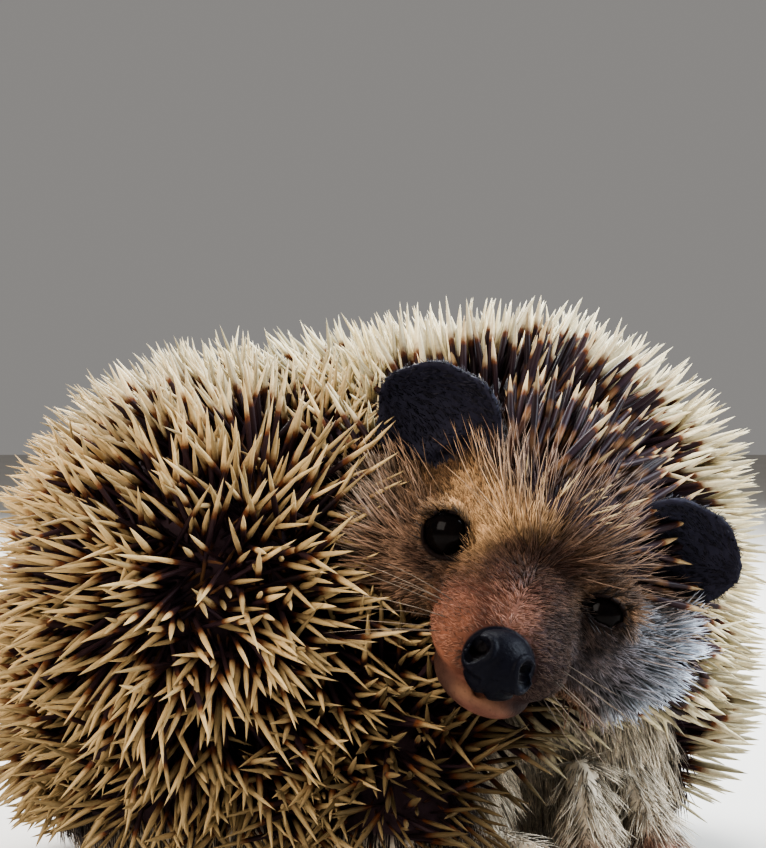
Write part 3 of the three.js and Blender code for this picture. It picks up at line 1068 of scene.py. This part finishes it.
def shade_under_fur(p):
    """How much painted shade the fur casts on the head's skin: 1 where fur covers it, and 2 under the bristly
    ruff.
    """
    given = (p, in_head(p), None)
    shares = [brow_share(*given), cheek_share(*given), 0.5 * muzzle_share(*given), 2 * ruff_share(*given)]
    return np.maximum.reduce(shares)


def brow_length(h):
    return 1.2 + 4.8 * ramp(h[:, 2] + 0.3 * h[:, 0], 2, 11) + ramp(np.abs(h[:, 0]), 8, 18)


def cheek_length(h):
    return 2.0 + 3.8 * ramp(np.abs(h[:, 0]), 12, 24)


def muzzle_length(h):
    return 0.9 + 0.9 * ramp(h[:, 1], -14, -4)


MUZZLE_HAIR = {"pale": 0.08, "lock": 0.7, "first_shade": 0.55}
COATS = [  # name, seed, hairs per mm2, where, length, radius, lean in degrees, and what isn't usual
    ("brow", 11, 24, brow_share, brow_length, 0.075, 68, {"first_shade": 0.15}),
    ("cheeks", 12, 7.2, cheek_share, cheek_length, 0.09, 68, {"lock": 1.3}),
    ("fringe", 16, 1.3, fringe_share, 9.0, 0.075, 56, {"loose": 0.14, "pale": 0.42, "lock": 1.6}),
    ("ruff", 17, 2.2, ruff_share, 6.5, 0.17, 50, {"loose": 0.16, "lock": 1.9}),
    ("ears", 18, 5, ear_share, 1.1, 0.05, 60, {"loose": 0.2, "pale": 0.01, "lock": 0.8}),
    ("muzzle", 13, 14, muzzle_share, muzzle_length, 0.055, 72, MUZZLE_HAIR),
    ("skirt", 14, 3.7, skirt_share, 6.0, 0.085, 68, {"loose": 0.16, "flow": SKIRT_FLOW, "lock": 1.5}),
    ("limbs", 15, 4, limb_share, 1.3, 0.08, 70, {"loose": 0.15, "flow": PAW_FLOW}),
]


def grow_coats(ground, material):
    for name, *coat, unusual in COATS:
        grow_fur(ground, material, "fur_" + name, *coat, **unusual)


# ---- Whiskers and claws ----

WHISKERS = {
    "count": 9,  # on each side
    "length": (8, 15),
    "radius": 0.06,
    "colour": (140, 124, 108),
    "profile": [(0.05, 1.0), (0.3, 0.85), (0.6, 0.6), (0.85, 0.35)],
    "sides": 4,
}
CLAWS = {
    "past": 0.6,  # the root, from the tip of the toe
    "raised": 0.25,
    "dip": 0.12,
    "length": 2.2,
    "radius": 0.42,
    "colour": (120, 98, 80),
    "profile": [(0.02, 0.9), (0.3, 1.0), (0.6, 0.7), (0.85, 0.35)],
    "sides": 8,
}


def grow_alike(name, material, slot, look, roots, directions, bends, lengths, maps):
    """A coat piece whose strands share one look. Their maps are in a row: a step and a height."""
    count = len(roots)
    step, height = maps
    maps = np.column_stack([0.03 + step * np.arange(count), np.full(count, height)])
    radii = np.full(count, look["radius"])
    colours = np.tile(linear(look["colour"]), (count, 1))
    strands = Strands(roots, maps, directions, bends, lengths, radii, colours, np.ones(count))
    return grow(name, material, slot, strands, look["profile"], look["sides"])


def grow_whiskers(material):
    rng = np.random.default_rng(21)
    sides = np.repeat(SIDES, WHISKERS["count"])
    count = len(sides)
    back, up = rng.uniform(-1, 1, (count, 2)).T
    roots = np.column_stack([sides * 6.4, -11.5 + 2.5 * back, -6.2 + 1.8 * up])
    ways = np.column_stack([sides, 0.15 + 0.3 * back, -0.25 + 0.35 * up])
    roots = settle(from_head(roots), steps=4)
    directions = unit(unit(ways) @ HEAD_TURN.T)
    bends = rng.normal(size=roots.shape) * 0.12 - (0, 0, 0.15)
    lengths = rng.uniform(*WHISKERS["length"], count)
    return grow_alike("whiskers", material, "fur", WHISKERS, roots, directions, bends, lengths, (0.01, 0.02))


def grow_claws(material):
    toes = np.array([toe for leg in LEGS.values() for toe in foot_points(leg)[1]])
    ahead = unit(toes[:, 1] - toes[:, 0])
    roots = toes[:, 1] + ahead * CLAWS["past"] + (0, 0, CLAWS["raised"])
    directions = unit(ahead - (0, 0, CLAWS["dip"]))
    bends = np.tile([0, 0, -0.35], (len(roots), 1))
    lengths = np.full(len(roots), CLAWS["length"])
    return grow_alike("claws", material, "dark_skin", CLAWS, roots, directions, bends, lengths, (0.05, 0.5))


# ---- Materials ----


class Nodes:
    def __init__(self, name, roughness, specular=0.5):
        self.material = bpy.data.materials.new(name)
        self.material.use_nodes = True
        self.tree = self.material.node_tree
        self.shade("Roughness", roughness)
        self.shade("Specular IOR Level", specular)

    def fill(self, node, inputs):
        for key, value in inputs.items():
            if isinstance(value, bpy.types.NodeSocket):
                self.tree.links.new(value, node.inputs[key])
            else:
                node.inputs[key].default_value = value

    def shade(self, key, value):
        self.fill(self.tree.nodes["Principled BSDF"], {key: value})

    def add(self, kind, inputs, **settings):
        node = self.tree.nodes.new("ShaderNode" + kind)
        for key, value in settings.items():
            setattr(node, key, value)
        self.fill(node, inputs)
        return node

    def attribute(self, name, output="Fac"):
        return self.add("Attribute", {}, attribute_name=name).outputs[output]

    def markings_and_painted_light(self):
        return self.attribute("markings_and_painted_light", "Color")

    def noise(self, scale, detail=4):
        place = self.add("TexCoord", {}).outputs["Object"]
        look = {"Scale": scale, "Detail": detail, "Roughness": 0.6, "Vector": place}
        return self.add("TexNoise", look).outputs["Fac"]

    def remap(self, value, given, wanted):
        ends = zip(("From Min", "From Max", "To Min", "To Max"), (*given, *wanted))
        return self.add("MapRange", {"Value": value, **dict(ends)}).outputs["Result"]

    def math(self, operation, a, b):
        return self.add("Math", {0: a, 1: b}, operation=operation).outputs[0]

    def ramp(self, value, stops):
        node = self.add("ValToRGB", {"Fac": value})
        elements = node.color_ramp.elements
        while len(elements) < len(stops):
            elements.new(0.5)
        for element, (place, rgb) in zip(elements, stops):
            element.position = place
            element.color = (*linear(rgb), 1)
        return node.outputs["Color"]

    def mix(self, factor, a, b):
        node = self.add("Mix", {"Factor": factor}, data_type="RGBA")
        sockets = [s for s in node.inputs if s.type == "RGBA"]
        for socket, value in zip(sockets, (a, b)):
            self.tree.links.new(value, socket)
        return next(s for s in node.outputs if s.type == "RGBA")

    def colour(self, colour, scale, *more):
        """Makes a colour, scaled by some values, the material's own."""
        for value in more:
            scale = self.math("MULTIPLY", scale, value)
        node = self.add("VectorMath", {0: colour, "Scale": scale}, operation="SCALE")
        self.shade("Base Color", node.outputs["Vector"])

    def bump(self, height, strength, depth):
        given = {"Strength": strength, "Distance": depth * MM, "Height": height}
        self.shade("Normal", self.add("Bump", given).outputs["Normal"])


BANDED_LENGTH = 16  # mm from the tip; the bands' places are shares of it
QUILL_BANDS = [
    (0.0, (110, 68, 42)),
    (0.33, (98, 58, 36)),
    (0.36, (52, 36, 37)),
    (0.7, (42, 31, 38)),
    (0.78, (100, 68, 48)),
    (0.88, (116, 86, 60)),
    (1.0, (60, 38, 28)),
]
TIP_BAND = [(0.0, (226, 226, 226)), (0.05, (255, 255, 255)), (0.24, (240, 240, 240)), (0.32, (0, 0, 0))]
EYE_COLOURS = [(0.3, (6, 5, 6)), (0.7, (16, 11, 10))]
FLOOR_COLOURS = [(0.3, (196, 192, 186)), (0.7, (204, 200, 194))]


def quill_material():
    n = Nodes("quill", roughness=0.42, specular=0.08)
    wander = n.remap(n.noise(900), (0.3, 0.7), (-0.35, 0.35))
    tip = n.remap(n.math("ADD", n.attribute("from_tip"), wander), (0, BANDED_LENGTH), (0, 1))
    bands = n.mix(n.ramp(tip, TIP_BAND), n.ramp(tip, QUILL_BANDS), n.markings_and_painted_light())
    fleck = n.remap(n.noise(2500), (0.3, 0.7), (0.88, 1.08))
    tint = n.remap(n.attribute("tint"), (0, 1), (0.44, 1.2))
    n.colour(bands, tint, fleck)
    n.bump(n.noise(3000), strength=0.25, depth=0.05)
    return n.material


def fur_material():
    n = Nodes("fur", roughness=0.55, specular=0.2)
    # Painted shade: each hair darker towards its root, where the coat shades it.
    along = n.remap(n.attribute("along"), (0, 1), (0.25, 1.35))
    patchy = n.remap(n.noise(600, detail=3), (0.32, 0.68), (0.62, 1.28))
    tint = n.remap(n.attribute("tint"), (0, 1), (0.6, 1.3))
    n.colour(n.markings_and_painted_light(), along, patchy, tint)
    return n.material


def skin_material():
    n = Nodes("skin", roughness=0.6, specular=0.06)
    patchy = n.remap(n.noise(420, detail=6), (0.3, 0.7), (0.72, 1.2))
    pores = n.remap(n.noise(2600, detail=2), (0.28, 0.42), (0.8, 1.0))
    # Painted shade: the skin darker where fur covers it.
    shade_under_fur = n.remap(n.attribute("shade_under_fur"), (0, 2), (1, 0.1))
    n.colour(n.markings_and_painted_light(), patchy, pores, shade_under_fur)
    n.shade("Roughness", n.remap(n.attribute("wet"), (0, 1), (0.6, 0.5)))
    n.bump(n.math("ADD", n.noise(1500), n.noise(600, detail=3)), strength=0.5, depth=0.25)
    return n.material


def claw_material():
    n = Nodes("claw", roughness=0.35)
    tip = n.remap(n.attribute("along"), (0, 1), (1.0, 1.5))
    patchy = n.remap(n.noise(1800), (0.3, 0.7), (0.85, 1.1))
    n.colour(n.markings_and_painted_light(), tip, patchy)
    n.bump(n.noise(2500), strength=0.3, depth=0.05)
    return n.material


def eye_material():
    n = Nodes("eye", roughness=0.12, specular=0.05)
    n.shade("Base Color", n.ramp(n.noise(500), EYE_COLOURS))
    return n.material


def floor_material():
    n = Nodes("floor", roughness=0.85)
    n.shade("Base Color", n.ramp(n.noise(6), FLOOR_COLOURS))
    return n.material


# ---- The pieces ----


def build_skin():
    mesh = build_skin_mesh()
    skin = add_piece("skin", mesh, skin_material(), "skin")
    unwrap(skin)
    points = mesh_points(mesh)
    paint(mesh, "markings_and_painted_light", markings_and_painted_light(points))
    paint(mesh, "wet", nose_share(in_head(points)))
    paint(mesh, "shade_under_fur", shade_under_fur(points))
    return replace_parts(skin, *(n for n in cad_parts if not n.startswith("eye")))


def build_eye(side, material):
    mesh = bpy.data.meshes.new("eye")
    bm = bmesh.new()
    bmesh.ops.create_uvsphere(bm, u_segments=48, v_segments=32, radius=EYE_RADIUS * MM)
    bmesh.ops.translate(bm, verts=bm.verts, vec=Vector(EYES[side] * MM))
    bm.to_mesh(mesh)
    bm.free()
    piece = add_piece("eyeball_" + side, mesh, material, "eye")
    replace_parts(piece, "eye_" + side)


# ---- The stage ----

CAMERA_AT = (0, -0.235, 0.062)
SENSOR = 36
LENS = 68.136792  # mm, for that sensor
WORLD_COLOUR = (0.62, 0.6, 0.58, 1)
WORLD_STRENGTH = 0.4
LIGHTS_AIM = (0, 0, 0.04)
LIGHTS = {  # place, size, power and colour
    "window": ((0.45, -0.02, 0.36), (0.3, 0.35), 8.0, (0.82, 0.91, 1.0)),
    "back": ((-0.12, 0.42, 0.5), (0.5, 0.3), 15.5, (0.95, 0.98, 1.0)),
    "room": ((-0.36, -0.42, 0.42), (0.4, 0.4), 5.0, (1.0, 0.92, 0.84)),
}


def build_floor():
    bpy.ops.mesh.primitive_plane_add(size=6)
    floor = bpy.context.object
    floor.name = "floor"
    floor.data.materials.append(floor_material())


def build_world():
    world = bpy.data.worlds.new("studio")
    bpy.context.scene.world = world
    world.use_nodes = True
    background = world.node_tree.nodes["Background"]
    background.inputs["Color"].default_value = WORLD_COLOUR
    background.inputs["Strength"].default_value = WORLD_STRENGTH


def build_light(name, place, size, power, colour):
    lamp = bpy.data.lights.new(name, "AREA")
    lamp.shape = "RECTANGLE"
    lamp.size, lamp.size_y = size
    lamp.energy = power
    lamp.color = colour
    light = bpy.data.objects.new(name, lamp)
    light.location = place
    light.rotation_euler = (Vector(LIGHTS_AIM) - light.location).to_track_quat("-Z", "Y").to_euler()
    bpy.context.scene.collection.objects.link(light)


def build_stage():
    build_floor()
    bpy.context.scene.view_settings.look = "AgX - Medium High Contrast"
    build_world()
    for name, lamp in LIGHTS.items():
        build_light(name, *lamp)


def build_camera():
    camera = bpy.data.objects.new("camera", bpy.data.cameras.new("camera"))
    bpy.context.scene.collection.objects.link(camera)
    camera.location = CAMERA_AT
    camera.rotation_euler = (math.pi / 2, 0, 0)
    camera.data.sensor_width = SENSOR
    camera.data.lens = LENS
    camera.data.clip_start = 0.01
    bpy.context.scene.camera = camera


build_camera()
build_stage()
skin = build_skin()
ground = Ground(skin.data)
grow_quills(ground, quill_material())
hair = fur_material()
grow_coats(ground, hair)
grow_whiskers(hair)
grow_claws(claw_material())
shine = eye_material()
for side in EYES:
    build_eye(side, shine)
